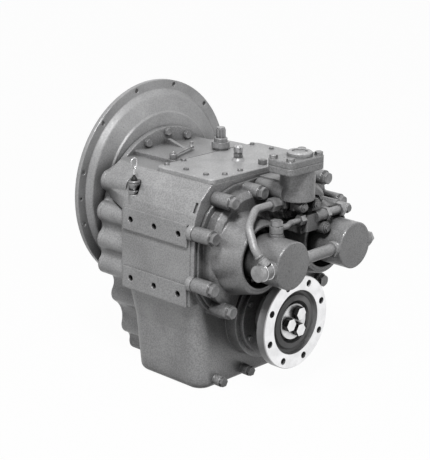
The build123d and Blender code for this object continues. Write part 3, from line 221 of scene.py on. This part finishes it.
def make_floor():
    """White floor under the sump that keeps a soft shadow."""
    material = bpy.data.materials.new("floor_white")
    material.use_nodes = True
    tree = material.node_tree
    tree.nodes.clear()
    matt = tree.nodes.new("ShaderNodeBsdfDiffuse")
    matt.inputs["Color"].default_value = (FLOOR_MATT, FLOOR_MATT, FLOOR_MATT, 1)
    glow = tree.nodes.new("ShaderNodeEmission")
    glow.inputs["Strength"].default_value = FLOOR_WHITE
    level = tree.nodes.new("ShaderNodeMath")
    level.operation = "MULTIPLY"
    level.inputs[1].default_value = 1 - SHADOW_SHARE
    mix = tree.nodes.new("ShaderNodeMixShader")
    out = tree.nodes.new("ShaderNodeOutputMaterial")
    tree.links.new(seen_directly(tree), level.inputs[0])
    tree.links.new(level.outputs[0], mix.inputs[0])
    tree.links.new(matt.outputs[0], mix.inputs[1])
    tree.links.new(glow.outputs[0], mix.inputs[2])
    tree.links.new(mix.outputs[0], out.inputs[0])
    corners = [(-FLOOR_HALF, -FLOOR_HALF, 0), (FLOOR_HALF, -FLOOR_HALF, 0),
               (FLOOR_HALF, FLOOR_HALF, 0), (-FLOOR_HALF, FLOOR_HALF, 0)]
    mesh = bpy.data.meshes.new("floor")
    mesh.from_pydata(corners, [], [(0, 1, 2, 3)])
    mesh.materials.append(material)
    floor = bpy.data.objects.new("floor", mesh)
    floor.location.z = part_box("main_casing")[0].z
    bpy.context.scene.collection.objects.link(floor)


class Look:
    """A material being built: one shader, with short calls that add its nodes."""

    def __init__(self, name, roughness, metallic):
        self.material = bpy.data.materials.new(name)
        self.material.use_nodes = True
        self.tree = self.material.node_tree
        self.shader = self.tree.nodes["Principled BSDF"]
        self.shader.inputs["Metallic"].default_value = metallic
        self.shader.inputs["Roughness"].default_value = roughness
        self.shader.inputs["Specular IOR Level"].default_value = SPECULAR
        self.place = self.node("ShaderNodeTexCoord").outputs["Object"]

    def node(self, kind, **settings):
        made = self.tree.nodes.new(kind)
        for key, value in settings.items():
            setattr(made, key, value)
        return made

    def link(self, start, end):
        self.tree.links.new(start, end)

    def noise(self, scale, detail, stretch=None):
        """Noise in the part's own frame, stretched along an axis for brushed metal."""
        made = self.node("ShaderNodeTexNoise")
        made.inputs["Scale"].default_value = scale
        made.inputs["Detail"].default_value = detail
        place = self.place
        if stretch:
            mapping = self.node("ShaderNodeMapping")
            mapping.inputs["Scale"].default_value = stretch
            self.link(place, mapping.inputs["Vector"])
            place = mapping.outputs["Vector"]
        self.link(place, made.inputs["Vector"])
        return made.outputs["Fac"]

    def rings(self, centred, distortion=0.0):
        """Fine rings around the Y axis, as a lathe leaves them."""
        made = self.node("ShaderNodeTexWave", wave_type="RINGS", rings_direction="Y")
        made.inputs["Scale"].default_value = LATHE_SCALE
        made.inputs["Distortion"].default_value = distortion
        self.link(centred, made.inputs["Vector"])
        return made.outputs["Fac"]

    def centred(self, axis):
        """The place, measured from an axis along Y."""
        made = self.node("ShaderNodeVectorMath", operation="SUBTRACT")
        made.inputs[1].default_value = (axis.x, 0, axis.z)
        self.link(self.place, made.inputs[0])
        return made.outputs[0]

    def ramp(self, value, *stops):
        """Grey levels at the given positions."""
        made = self.node("ShaderNodeValToRGB")
        for point, (position, level) in zip(made.color_ramp.elements, stops):
            point.position = position
            point.color = (level, level, level, 1)
        self.link(value, made.inputs["Fac"])
        return made.outputs["Color"]

    def multiply(self, first, second, share=1.0):
        """A colour multiplied by another, by a share. Either one is a socket or plain numbers."""
        made = self.node("ShaderNodeMix", data_type="RGBA", blend_type="MULTIPLY")
        made.inputs[MIX_SHARE].default_value = share
        for value, number in ((first, MIX_FIRST), (second, MIX_SECOND)):
            if isinstance(value, bpy.types.NodeSocket):
                self.link(value, made.inputs[number])
            else:
                made.inputs[number].default_value = (*value, 1)
        return made.outputs[MIX_RESULT]

    def mix(self, share, first, second):
        """The first colour where the share is 0, and the second where it is 1."""
        made = self.node("ShaderNodeMix", data_type="RGBA")
        for value, number in ((share, MIX_SHARE), (first, MIX_FIRST), (second, MIX_SECOND)):
            self.link(value, made.inputs[number])
        return made.outputs[MIX_RESULT]

    def between(self, value, start, end):
        """0 up to the start and 1 from the end on. The end may be the lower of the two."""
        made = self.node("ShaderNodeMapRange")
        made.inputs["From Min"].default_value = start
        made.inputs["From Max"].default_value = end
        self.link(value, made.inputs["Value"])
        return made.outputs["Result"]

    def both(self, first, second):
        """The product of two values from 0 to 1."""
        made = self.node("ShaderNodeMath", operation="MULTIPLY")
        self.link(first, made.inputs[0])
        self.link(second, made.inputs[1])
        return made.outputs[0]

    def painted_crevice_shade(self, distance, darkest=0.04, closed=0.05, clear=0.85, samples=6):
        """Painted shade, with old oil: darker where surfaces close in on each other."""
        made = self.node("ShaderNodeAmbientOcclusion", samples=samples)
        made.inputs["Distance"].default_value = distance
        return self.ramp(made.outputs["AO"], (closed, darkest), (clear, 1.0))

    def edge_wear_and_highlight(self, reach):
        """1 on edges, 0 on open faces, where the rounded normal leaves the true one: scuffed paint with a
        painted highlight.
        """
        rounded = self.node("ShaderNodeBevel", samples=BEVEL_SAMPLES)
        rounded.inputs["Radius"].default_value = reach
        flat = self.node("ShaderNodeNewGeometry")
        turned = self.node("ShaderNodeVectorMath", operation="DOT_PRODUCT")
        self.link(rounded.outputs["Normal"], turned.inputs[0])
        self.link(flat.outputs["Normal"], turned.inputs[1])
        return self.between(turned.outputs["Value"], WEAR_AND_HIGHLIGHT_STARTS, WEAR_AND_HIGHLIGHT_FULL)

    def colour(self, socket):
        self.link(socket, self.shader.inputs["Base Color"])

    def relief(self, *layers, edge=0.0):
        """Bumps laid over one another, each with its strength and depth, on edges that look rounded."""
        normal = None
        if edge:
            bevel = self.node("ShaderNodeBevel", samples=BEVEL_SAMPLES)
            bevel.inputs["Radius"].default_value = edge
            normal = bevel.outputs["Normal"]
        for height, strength, depth in layers:
            bump = self.node("ShaderNodeBump")
            bump.inputs["Strength"].default_value = strength
            bump.inputs["Distance"].default_value = depth
            self.link(height, bump.inputs["Height"])
            if normal:
                self.link(normal, bump.inputs["Normal"])
            normal = bump.outputs["Normal"]
        self.link(normal, self.shader.inputs["Normal"])


def cast_paint(name, shade, roughness=0.38, metallic=0.15, sand=0.35, edge=0.005, wear_and_highlight=1.45, grain=1.0):
    """Grey enamel over a sand casting: cloudy colour, fine grain, lighter edges from scuffing and a painted
    highlight, and painted shade where surfaces close in.
    """
    look = Look(name, roughness, metallic)
    clouds = look.ramp(look.noise(14, 6), (0.3, 0.86), (0.7, 1.08))
    specks = look.ramp(look.noise(260, 3), (0.36, 0.8), (0.62, 1.12))
    painted = look.multiply(look.multiply(shade, clouds), specks, grain)
    # Lighter edges: scuffed paint with a painted highlight
    rubbed_and_lit = look.multiply(painted, (wear_and_highlight, wear_and_highlight, wear_and_highlight))
    worn_and_lit = look.mix(look.edge_wear_and_highlight(WORN_AND_LIT_EDGE), painted, rubbed_and_lit)
    # Painted shade where surfaces close in, and low down beside the floor
    look.colour(look.multiply(worn_and_lit, look.painted_crevice_shade(PAINT_SHADE_REACH)))
    look.relief((look.noise(26, 4), 0.25, 0.004), (look.noise(480, 2), sand, 0.0008), edge=edge)
    uneven = look.node("ShaderNodeMapRange")
    uneven.inputs["To Min"].default_value = roughness - 0.08
    uneven.inputs["To Max"].default_value = roughness + 0.12
    look.link(look.noise(90, 4), uneven.inputs["Value"])
    look.link(uneven.outputs["Result"], look.shader.inputs["Roughness"])
    return look.material


def worn_steel(name, shade, roughness=0.34, metallic=1.0, stretch=(1, 1, 1)):
    """Steel with tool marks and stains, and painted shade where surfaces close in."""
    look = Look(name, roughness, metallic)
    stains = look.ramp(look.noise(60, 5), (0.35, 0.72), (0.65, 1.05))
    marks = look.noise(420, 3, stretch)
    metal = look.multiply(shade, stains)
    metal = look.multiply(metal, look.ramp(marks, (0.3, 0.86), (0.7, 1.06)))
    # Painted shade where surfaces close in
    look.colour(look.multiply(metal, look.painted_crevice_shade(STEEL_SHADE_REACH)))
    look.relief((marks, 0.12, 0.0005), edge=0.0012)
    return look.material


def flange_steel(name, shade, paint, axis, inner):
    """Bright machined aft face past the inner radius; elsewhere paint, on bolt sides a near-black painted
    reflection.
    """
    look = Look(name, 0.3, 1.0)
    centred = look.centred(axis)
    flat = look.node("ShaderNodeVectorMath", operation="MULTIPLY")
    flat.inputs[1].default_value = (1, 0, 1)
    look.link(centred, flat.inputs[0])
    radius = look.node("ShaderNodeVectorMath", operation="LENGTH")
    look.link(flat.outputs[0], radius.inputs[0])
    facing = look.node("ShaderNodeSeparateXYZ")
    look.link(look.node("ShaderNodeTexCoord").outputs["Normal"], facing.inputs[0])
    aft = look.between(facing.outputs["Y"], AFT_STARTS, AFT_FULL)
    machined = look.both(aft, look.between(radius.outputs["Value"], inner, inner + 0.5 * MM))
    rings = look.rings(centred)
    metal = look.multiply(shade, look.ramp(look.noise(45, 5), (0.35, 0.86), (0.65, 1.0)))
    metal = look.multiply(metal, look.ramp(rings, (0.0, 0.95), (1.0, 1.0)))
    coat_and_dark_reflection = look.multiply(paint, look.ramp(look.noise(30, 5), (0.3, 0.8), (0.7, 1.1)))
    face = look.mix(machined, coat_and_dark_reflection, metal)
    # Painted shade in recesses
    look.colour(look.multiply(face, look.painted_crevice_shade(FLANGE_SHADE_REACH, darkest=0.5)))
    look.link(machined, look.shader.inputs["Metallic"])
    look.relief((rings, 0.06, 0.0004), (look.noise(300, 3), 0.1, 0.0006), edge=0.0015)
    return look.material


def turned_steel(name, shade, axis):
    """Machined face with fine rings around an axis along Y, with painted shade dark beside what stands on it.
    """
    look = Look(name, 0.28, 1.0)
    rings = look.rings(look.centred(axis), distortion=0.6)
    metal = look.multiply(shade, look.ramp(look.noise(45, 5), (0.35, 0.8), (0.65, 1.0)))
    metal = look.multiply(metal, look.ramp(rings, (0.0, 0.93), (1.0, 1.0)))
    painted_shade_beside = look.painted_crevice_shade(DISC_SHADE_REACH, darkest=0.01, closed=0.5, clear=0.88, samples=8)
    look.colour(look.multiply(metal, painted_shade_beside))
    look.relief((rings, 0.08, 0.0004), edge=0.001)
    return look.material


def dull(name, shade, roughness, scale, depth):
    """Rubber, fibre, paper or lining: an even colour with its own texture."""
    look = Look(name, roughness, 0.0)
    look.colour(look.multiply(shade, look.ramp(look.noise(scale / MOTTLE_SIZE, 4), (0.3, 0.8), (0.7, 1.15))))
    look.relief((look.noise(scale, 3), 0.5, depth))
    return look.material


def grey(level):
    """Grey with a touch of blue."""
    return (level, level, level * BLUE_TINT)


def set_material(material, *names):
    """Give the CAD nodes of these names one material."""
    for name in names:
        mesh = nodes[name].data
        mesh.materials.clear()
        mesh.materials.append(material)


def material_of(name):
    """The material that a CAD node already has."""
    return nodes[name].data.materials[0]


def dress_castings():
    """Painted castings of the housing."""
    casting = cast_paint("casting_paint", grey(0.32), roughness=0.33, metallic=0.3)
    cover = cast_paint("cover_paint", grey(0.25), roughness=0.29, metallic=0.35)
    bell = cast_paint("bell_paint", grey(0.33), roughness=0.3, metallic=0.4, sand=0.12, wear_and_highlight=1.3, grain=0.6)
    plate = cast_paint("plate_paint", grey(0.36), sand=0.15, edge=0.002)
    set_material(casting, "main_casing", "front_housing", "seal_carrier", "pump_housing")
    set_material(cover, "aft_cover", "left_shaft_cover", "right_shaft_cover", "filter_lid")
    set_material(bell, "bell_housing")
    set_material(plate, "top_cover", "filter_cap")


def dress_fittings():
    """Painted pipes and fittings, and the plated small parts."""
    fitting = cast_paint("fitting_paint", grey(0.2), roughness=0.34, metallic=0.3, sand=0.1, edge=0.0015)
    pipe = cast_paint("pipe_paint", grey(0.3), roughness=0.4, sand=0.08, edge=0.001)
    plated = worn_steel("plated_steel", grey(0.36), roughness=0.28, metallic=0.6)
    # On the plugs, this dark fitting paint is painted shade for where they sit in shadow low on the sump
    set_material(fitting, "valve_block", "plugs", "dipstick_tube", "temperature_switch")
    set_material(pipe, "left_feed_pipe", "right_feed_pipe", "cross_pipe", "link_pipe")
    set_material(plated, "breather_body", "breather_cap", "banjo_bolts", "pipe_unions", "selector_lever",
                 "dipstick")


def dress_output():
    """Output flange with its bright ring, and the disc and bolts in its middle."""
    low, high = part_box("retaining_disc")
    axis = (low + high) / 2
    flange = flange_steel("flange_steel", grey(0.95), grey(0.32), axis, BRIGHT_RING_INNER * MM)
    set_material(flange, "output_flange")
    set_material(turned_steel("bright_steel", grey(0.86), axis), "retaining_disc")
    # Painted reflection: near-black bolt sides stand in for the dark surroundings they would mirror, with
    # bright aft faces
    set_material(flange_steel("bolt_steel_dark_reflection", grey(0.9), grey(0.03), axis, 0), "retaining_bolts")


def dress_running_gear():
    """Shafts, gears and bearings, and the lined discs of both clutches."""
    gear_steel = worn_steel("gear_steel", grey(0.5), roughness=0.25, stretch=(1, 12, 1))
    set_material(gear_steel, "outer_races", "input_shaft", "input_bearing", "pump_quill", "pump_idler",
                 "left_drive_gear", "bull_gear", "output_shaft", "output_bearings")
    for side in ("left", "right"):
        for name in ("clutch_shaft", "drum", "piston", "steel_plates", "bearings", "pinion"):
            set_material(gear_steel, f"{side}_{name}")
        lining = dull("lining_" + side, (0.16, 0.12, 0.08), 0.8, 900, 0.0006)
        set_material(lining, f"{side}_friction_discs")


def dress_soft_parts():
    """Seals, gasket and filter."""
    set_material(dull("seal_rubber", grey(0.02), 0.5, 700, 0.0004), "shaft_seals")
    set_material(dull("gasket_fibre", grey(0.05), 0.9, 900, 0.0004), "cover_gasket")
    set_material(dull("filter_paper", (0.55, 0.5, 0.38), 0.9, 500, 0.0006), "filter_element")


def full_circle(count):
    """Angles in equal steps round a circle, in radians."""
    return [2 * pi * n / count for n in range(count)]


def around(middle, first, second, turn):
    """The point at a turn around a middle, where two vectors give the radii."""
    return middle + first * cos(turn) + second * sin(turn)


def to_object(name, mesh, material):
    """Turn a finished mesh into an object in the scene."""
    data = bpy.data.meshes.new(name)
    mesh.to_mesh(data)
    mesh.free()
    data.materials.append(material)
    made = bpy.data.objects.new(name, data)
    bpy.context.scene.collection.objects.link(made)
    return made


def solid_points(node):
    """The points of each separate solid of a CAD node."""
    mesh = bmesh.new()
    mesh.from_mesh(nodes[node].data)
    bmesh.ops.remove_doubles(mesh, verts=mesh.verts, dist=SAME_POINT)
    seen = set()
    groups = []
    for start in mesh.verts:
        if start in seen:
            continue
        seen.add(start)
        group = [start]
        for point in group:
            for edge in point.link_edges:
                other = edge.other_vert(point)
                if other not in seen:
                    seen.add(other)
                    group.append(other)
        groups.append([point.co.copy() for point in group])
    mesh.free()
    return groups


def end_radius(points, axis, middle, level):
    """How far the points at one end of a solid reach from its axis."""
    across = [i for i in range(3) if i != axis]
    at_end = [p for p in points if abs(p[axis] - level) < SAME_LEVEL]
    return max(sqrt(sum((p[i] - middle[i])**2 for i in across)) for p in at_end)


def bolt_places(node, axis):
    """For each bolt of a node: seat centre, way out of the head, head height and shank length."""
    places = []
    for points in solid_points(node):
        levels = sorted({round(p[axis], 5) for p in points})
        middle = Vector([(min(p[i] for p in points) + max(p[i] for p in points)) / 2 for i in range(3)])
        first_r, last_r = [end_radius(points, axis, middle, level) for level in (levels[0], levels[-1])]
        out = -1 if first_r > last_r else 1
        if out < 0:
            levels.reverse()
        tail, seat, top = levels[0], levels[-2], levels[-1]
        middle[axis] = seat
        way = Vector((0, 0, 0))
        way[axis] = out
        places.append((middle, way, abs(top - seat), abs(seat - tail)))
    return places


def hex_bolt(mesh, place, across, shank_r, washer_r, turn):
    """Hex bolt with a chamfered and dished head and a washer under it."""
    seat, way, head, shank = place
    first = way.orthogonal().normalized()
    second = way.cross(first)
    angles = full_circle(HEAD_SIDES)
    flat = across / 2
    hexagon = [flat / cos(angle % (pi / 3) - pi / 6) for angle in angles]
    face_r = flat * 0.96
    dish_r = flat * 0.75
    dish_floor_r = flat * 0.68
    dish_floor = head * 0.96
    washer_top = head * 0.16

    def even(value):
        return [value] * HEAD_SIDES

    rings = [(even(-shank), even(shank_r)), (even(0), even(shank_r)), (even(0), even(washer_r)),
             (even(washer_top), even(washer_r)), (even(washer_top), hexagon),
             ([head - (r - face_r) * HEAD_CHAMFER for r in hexagon], hexagon), (even(head), even(face_r)),
             (even(head), even(dish_r)), (even(dish_floor), even(dish_floor_r))]
    loops = [[mesh.verts.new(around(seat + way * height, first * radius, second * radius, angle + turn))
              for angle, height, radius in zip(angles, heights, radii)] for heights, radii in rings]
    for level, (low, high) in enumerate(zip(loops, loops[1:])):
        for n in range(HEAD_SIDES):
            after = (n + 1) % HEAD_SIDES
            face = mesh.faces.new((low[n], low[after], high[after], high[n]))
            face.smooth = level in (0, 2)
    mesh.faces.new(reversed(loops[0]))
    mesh.faces.new(loops[-1])


def dress_bolts(material):
    """Bolts with real heads in place of the plain ones, each at a turn of its own."""
    for node, (axis, across, shank_r, washer_r) in BOLTS.items():
        mesh = bmesh.new()
        for number, place in enumerate(bolt_places(node, axis)):
            turn = FIRST_TURN + TURN_STEP * number
            hex_bolt(mesh, place, across * MM, shank_r * MM, washer_r * MM, turn)
        bmesh.ops.recalc_face_normals(mesh, faces=mesh.faces)
        piece = to_object(node + "_dressed", mesh, material)
        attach(piece, "housing")
        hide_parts(node)


def make_piece(name, mesh, material, slot, body, *replaced):
    """Turn a mesh in millimetres into a piece that rides on a body."""
    bmesh.ops.scale(mesh, vec=(MM, MM, MM), verts=mesh.verts)
    bmesh.ops.recalc_face_normals(mesh, faces=mesh.faces)
    piece = to_object(name, mesh, material)
    piece.data.set_sharp_from_angle(angle=SHARP_ANGLE)
    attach(piece, body)
    if replaced:
        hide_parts(*replaced)


def skin(mesh, loops, closed=False):
    """Faces between neighbouring loops of points. A loop may be one point repeated."""
    following = loops[1:] + (loops[:1] if closed else [])
    for low, high in zip(loops, following):
        for n in range(len(low)):
            after = (n + 1) % len(low)
            corners = []
            for point in (low[n], low[after], high[after], high[n]):
                if point not in corners:
                    corners.append(point)
            mesh.faces.new(corners).smooth = True


def spin(mesh, foot, way, profile, closed=False, sides=TURNED_SIDES):
    """Turned solid on a foot point, from radius and height pairs along a direction."""
    way = Vector(way).normalized()
    first = way.orthogonal().normalized()
    second = way.cross(first)
    loops = []
    for radius, height in profile:
        middle = Vector(foot) + way * height
        if radius == 0:
            loops.append([mesh.verts.new(middle)] * sides)
            continue
        loops.append([mesh.verts.new(around(middle, first * radius, second * radius, turn))
                      for turn in full_circle(sides)])
    skin(mesh, loops, closed)


def closed_wire(mesh, path, radius, sides=12):
    """Round wire along a closed flat path."""
    count = len(path)
    across = (path[1] - path[0]).cross(path[count // 3] - path[0]).normalized()
    loops = []
    for n, point in enumerate(path):
        along = (path[(n + 1) % count] - path[n - 1]).normalized()
        out = along.cross(across)
        loops.append([mesh.verts.new(around(point, out * radius, across * radius, turn))
                      for turn in full_circle(sides)])
    skin(mesh, loops, closed=True)


def dress_dipstick(wire, rubber):
    """Stem with a wire handle shaped like a drop, and the rubber boot that closes the tube."""
    x, y = DIPSTICK_SPOT
    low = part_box("dipstick")[0].z / MM
    loop_foot = LOOP_MIDDLE - LOOP_HALF_HEIGHT
    stem = [(0, low), (STEM_R, low + 3), (STEM_R, loop_foot + 1), (0, loop_foot + 3)]
    loop = []
    for turn in full_circle(LOOP_POINTS):
        out = LOOP_HALF_WIDTH * sin(turn) * abs(sin(turn / 2))**LOOP_TAPER * LOOP_SWELL
        loop.append(Vector((x + out, y, LOOP_MIDDLE - LOOP_HALF_HEIGHT * cos(turn))))
    mesh = bmesh.new()
    spin(mesh, (x, y, 0), UP, stem)
    closed_wire(mesh, loop, HANDLE_WIRE_R)
    make_piece("dipstick_wire", mesh, wire, "wire_steel", "dipstick", "dipstick")
    boot = [(0, 0.3), (8, 0.3), (8.4, 1.5), (7.6, 4), (5, 7.5), (3.4, 11), (2.8, 14), (0, 14.5)]
    mesh = bmesh.new()
    spin(mesh, (x, y, DIPSTICK_TUBE_TOP), UP, boot)
    make_piece("dipstick_boot", mesh, rubber, "seal_rubber", "dipstick")


def dress_dipstick_tube(steel):
    """Tube that widens to a grooved head, with a hexagon to screw it in by."""
    foot = (*DIPSTICK_SPOT, 0)
    top = DIPSTICK_TUBE_TOP
    tube = [(4, 12), (7.8, 12), (7.8, 50), (9, 54), (14.5, 65), (16, 67), (16, 70.5), (14.6, 71.2),
            (14.6, 72.4), (16, 73), (16, top - 1.5), (14.5, top), (4, top)]
    hexagon = [(7, 42.5), (14.2, 42.5), (15.2, 43.6), (15.2, 51), (14.2, 52), (7, 52)]
    mesh = bmesh.new()
    spin(mesh, foot, UP, tube, closed=True)
    spin(mesh, foot, UP, hexagon, closed=True, sides=HEXAGON)
    make_piece("dipstick_fitting", mesh, steel, "plated_steel", "housing", "dipstick_tube")


def dress_switch(paint, steel, cap_steel):
    """Switch on the top cover: a cast boss, a hex body with a collar, and a cap."""
    low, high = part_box("temperature_switch")
    foot = ((low.x + high.x) / 2 / MM, (low.y + high.y) / 2 / MM, PLATE_TOP)
    top = high.z / MM - PLATE_TOP
    boss = [(0, -1), (17, -1), (17, 0.4), (14.5, 2.2), (13.4, 6), (12.6, 7), (0, 7)]
    hexagon = [(0, 6.8), (12, 6.8), (13, 7.8), (13, 14.4), (12, 15.4), (0, 15.4)]
    collar = [(0, 15.2), (11, 15.2), (11.5, 15.8), (11.5, 18), (9.6, 18.4), (9.6, 20.4), (0, 20.4)]
    cap = [(0, 20.2), (8.6, 20.2), (8.6, 21), (11.2, 21.4), (11.6, 22), (11.6, top - 3), (10, top - 1.6),
           (6, top - 1.4), (5.6, top), (0, top)]
    mesh = bmesh.new()
    spin(mesh, foot, UP, boss)
    make_piece("switch_boss", mesh, paint, "plate_paint", "housing", "temperature_switch")
    mesh = bmesh.new()
    spin(mesh, foot, UP, hexagon, sides=HEXAGON)
    spin(mesh, foot, UP, collar)
    make_piece("switch_body", mesh, steel, "plated_steel", "housing")
    mesh = bmesh.new()
    spin(mesh, foot, UP, cap)
    make_piece("switch_cap", mesh, cap_steel, "plated_steel", "housing")


def dress_lever(steel):
    """Forged lever: a hub with a nut, a waisted arm and an upright end pin."""
    hub = Vector((*LEVER_SPOT, LEVER_Z))
    tip = Vector((*LEVER_TIP, LEVER_Z))
    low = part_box("selector_lever")[0].z / MM - LEVER_Z
    seat = PLATE_TOP + LEVER_GAP - LEVER_Z
    boss = [(0, low), (5.9, low + 1), (5.9, seat), (9.6, seat), (10, seat + 0.7), (10, 6.5), (8.6, 8), (0, 8)]
    nut = [(0, 7), (7.2, 7), (7.6, 7.8), (7.6, 11), (6.6, 12), (0, 12)]
    stud = [(0, 11), (4, 11), (4, 13), (3, 14), (0, 14)]
    pin = [(0, -0.5), (6, -0.5), (6.6, 0.3), (6.6, 6.5), (5, 7.5), (4.6, 8), (4.6, 13), (5.3, 14),
           (5.3, 16.4), (3.8, 17.8), (0, 18)]
    mesh = bmesh.new()
    spin(mesh, hub, UP, boss)
    spin(mesh, hub, UP, nut, sides=HEXAGON)
    spin(mesh, hub, UP, stud)
    spin(mesh, tip, UP, pin)
    along = (tip - hub).normalized()
    out = UP.cross(along)
    loops = []
    for share, wide, thick in ((0.0, 7.5, 3.2), (0.1, 6.8, 3.2), (0.3, 4.8, 2.9), (0.55, 4.0, 2.7),
                               (0.8, 4.2, 2.7), (0.95, 5.2, 3.0), (1.0, 5.6, 3.0)):
        middle = hub.lerp(tip, share) + UP * ARM_MIDDLE
        loops.append([mesh.verts.new(around(middle, out * wide, UP * thick, turn))
                      for turn in full_circle(ARM_SIDES)])
    skin(mesh, loops)
    mesh.faces.new(loops[0])
    mesh.faces.new(loops[-1])
    make_piece("lever_forging", mesh, steel, "plated_steel", "selector_lever", "selector_lever")


def dress_feed_pipe(paint, steel):
    """Socket, clamp ring and washers where the left feed pipe enters its banjo."""
    low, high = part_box("left_shaft_cover")
    banjo_z = (low.z + high.z) / 2 / MM
    end = Vector((*FEED_END, banjo_z + BANJO_RIM_R))
    back = (Vector(FEED_LAST_BEND) - end).normalized()
    bore = FEED_R - 1
    socket = [(bore, -3), (15, -3), (14, 3), (12.4, 13), (11.6, 15), (bore, 15)]
    clamp = [(bore, 0), (11.6, 0), (12.2, 0.8), (12.2, 4.6), (11.6, 5.4), (bore, 5.4)]
    hole = BANJO_SHANK_R + 0.2
    washer = [(hole, 0.1), (21.6, 0.1), (22, 0.4), (22, 1.1), (21.6, WASHER_T), (hole, WASHER_T)]
    mesh = bmesh.new()
    spin(mesh, end, back, socket, closed=True)
    spin(mesh, end + back * CLAMP_PLACE, back, clamp, closed=True)
    make_piece("feed_pipe_socket", mesh, paint, "pipe_steel", "housing")
    mesh = bmesh.new()
    for x in BANJO_FACES_X:
        spin(mesh, (x - WASHER_T, end.y, banjo_z), (1, 0, 0), washer, closed=True)
    make_piece("banjo_washers", mesh, steel, "bright_steel", "housing")


bpy.context.scene.view_settings.view_transform = "Standard"
make_camera()
make_lamps()
make_world()
make_floor()
dress_castings()
dress_fittings()
dress_output()
dress_running_gear()
dress_soft_parts()
dress_bolts(worn_steel("bolt_steel", grey(0.3), roughness=0.36, metallic=0.5))
dress_dipstick(worn_steel("wire_steel", grey(0.75), roughness=0.25),
               dull("boot_rubber", grey(0.015), 0.5, 700, 0.0003))
dress_dipstick_tube(worn_steel("fitting_steel", grey(0.3), roughness=0.35))
dress_switch(material_of("top_cover"), material_of("temperature_switch"),
             worn_steel("switch_cap_steel", grey(0.55), roughness=0.3))
dress_lever(material_of("breather_body"))
dress_feed_pipe(material_of("left_feed_pipe"), worn_steel("washer_steel", grey(0.7), roughness=0.3))
